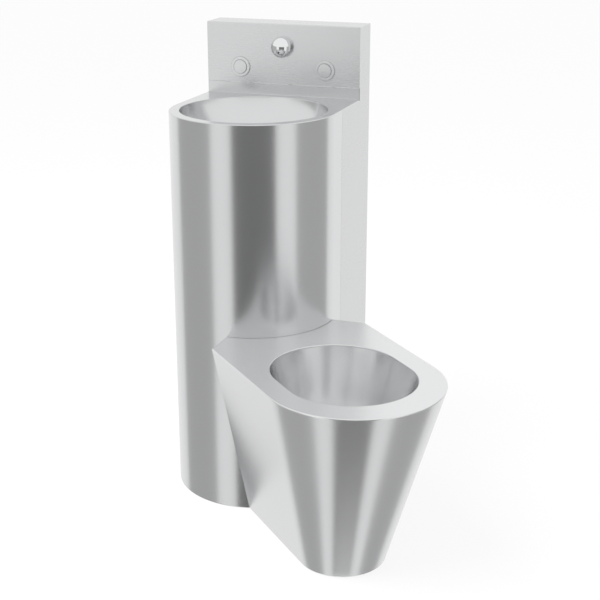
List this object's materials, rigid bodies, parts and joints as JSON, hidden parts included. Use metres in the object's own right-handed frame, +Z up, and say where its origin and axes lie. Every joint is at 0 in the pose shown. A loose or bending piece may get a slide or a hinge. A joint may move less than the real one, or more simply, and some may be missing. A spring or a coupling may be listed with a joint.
{
  "type": "toilet and basin combination unit",
  "caption": "Stainless steel combination unit: a round column with a wash basin on top and a toilet pan set at an angle to its side, worked by push buttons on the splashback.",
  "frame": {"origin": "centre line of the unit at the foot of its wall flange, on the wall and the floor", "axes": "+X to the unit's right seen from the front, +Y into the wall, +Z up; the front faces -Y"},
  "size_m": [0.6874, 0.7654, 1.01],
  "materials": {
    "sheet_steel": "fine satin",
    "button_steel": "polished",
    "inner_steel": "mill finish",
    "chrome": "polished",
    "spring_steel": "drawn wire",
    "brass": "cast and turned",
    "plastic": "moulded",
    "rubber": "matt",
    "lever_red": "dipped coating",
    "air_tube": "flexible",
    "copper": "drawn copper tube"
  },
  "bodies": {
    "unit": {"rear_housing": "sheet_steel", "splashback": "sheet_steel", "column_shell": "sheet_steel", "basin_deck": "sheet_steel", "basin_bowl": "sheet_steel", "pan_deck": "sheet_steel", "pan_skirt": "sheet_steel", "pan_bowl": "sheet_steel", "pan_stiffeners": "sheet_steel", "valve_rail": "inner_steel", "wall_nuts": "inner_steel", "earth_stud": "brass", "waste_strainer": "chrome", "waste_screw": "chrome", "waste_body": "chrome", "waste_nut": "plastic", "basin_trap": "plastic", "trap_nuts": "plastic", "pan_outlet": "inner_steel", "pan_trap": "inner_steel", "soil_elbow": "inner_steel", "soil_pipe": "inner_steel", "soil_coupling": "rubber", "coupling_clamps": "chrome", "soil_bracket": "inner_steel", "inlet_manifold": "brass", "pipe_clips": "chrome", "isolator_left": "brass", "isolator_right": "brass", "flush_valve_body": "brass", "flush_valve_cover": "brass", "flush_spring": "spring_steel", "flush_pipe_upper": "chrome", "flush_pipe_lower": "chrome", "basin_valve_body": "brass", "basin_valve_cover": "brass", "basin_valve_spring": "spring_steel", "supply_tube": "copper", "spout": "chrome", "spout_nozzle": "chrome", "panel_nuts": "brass", "collar_left": "button_steel", "collar_right": "button_steel", "button_spring_left": "spring_steel", "button_spring_right": "spring_steel", "air_cylinder_left": "plastic", "air_cylinder_right": "plastic", "flush_union": "brass", "rubber_seals": "rubber", "air_tubes": "air_tube"},
    "left_button": {"cap_left": "button_steel", "plunger_left": "plastic"},
    "right_button": {"cap_right": "button_steel", "plunger_right": "plastic"},
    "flush_piston": {"flush_piston": "plastic"},
    "basin_piston": {"basin_piston": "plastic"},
    "left_isolator": {"isolator_ball_left": "chrome", "isolator_lever_left": "lever_red"},
    "right_isolator": {"isolator_ball_right": "chrome", "isolator_lever_right": "lever_red"}
  },
  "joints": [
    {"name": "left_press", "type": "slide", "parent": "unit", "child": "left_button", "axis": [0, 1, 0], "range_m": [0, 0.004], "stiffness_N_per_m": 400, "springref_m": -0.003, "deforming": ["button_spring_left"]},
    {"name": "right_press", "type": "slide", "parent": "unit", "child": "right_button", "axis": [0, 1, 0], "range_m": [0, 0.004], "stiffness_N_per_m": 400, "springref_m": -0.003, "deforming": ["button_spring_right"]},
    {"name": "flush_lift", "type": "slide", "parent": "unit", "child": "flush_piston", "axis": [0, 0, 1], "range_m": [0, 0.005], "deforming": ["flush_spring"]},
    {"name": "basin_lift", "type": "slide", "parent": "unit", "child": "basin_piston", "axis": [0, 0, 1], "range_m": [0, 0.005], "deforming": ["basin_valve_spring"]},
    {"name": "left_isolator_turn", "type": "hinge", "parent": "unit", "child": "left_isolator", "pos_m": [-0.1, -0.052, 0.577], "axis": [0, -1, 0], "range_deg": [0, 90]},
    {"name": "right_isolator_turn", "type": "hinge", "parent": "unit", "child": "right_isolator", "pos_m": [0.1, -0.052, 0.577], "axis": [0, 1, 0], "range_deg": [0, 90]}
  ],
  "couplings": [
    {"joint": "flush_lift", "follows": "left_press", "ratio": 1.25},
    {"joint": "basin_lift", "follows": "right_press", "ratio": 1.25}
  ]
}
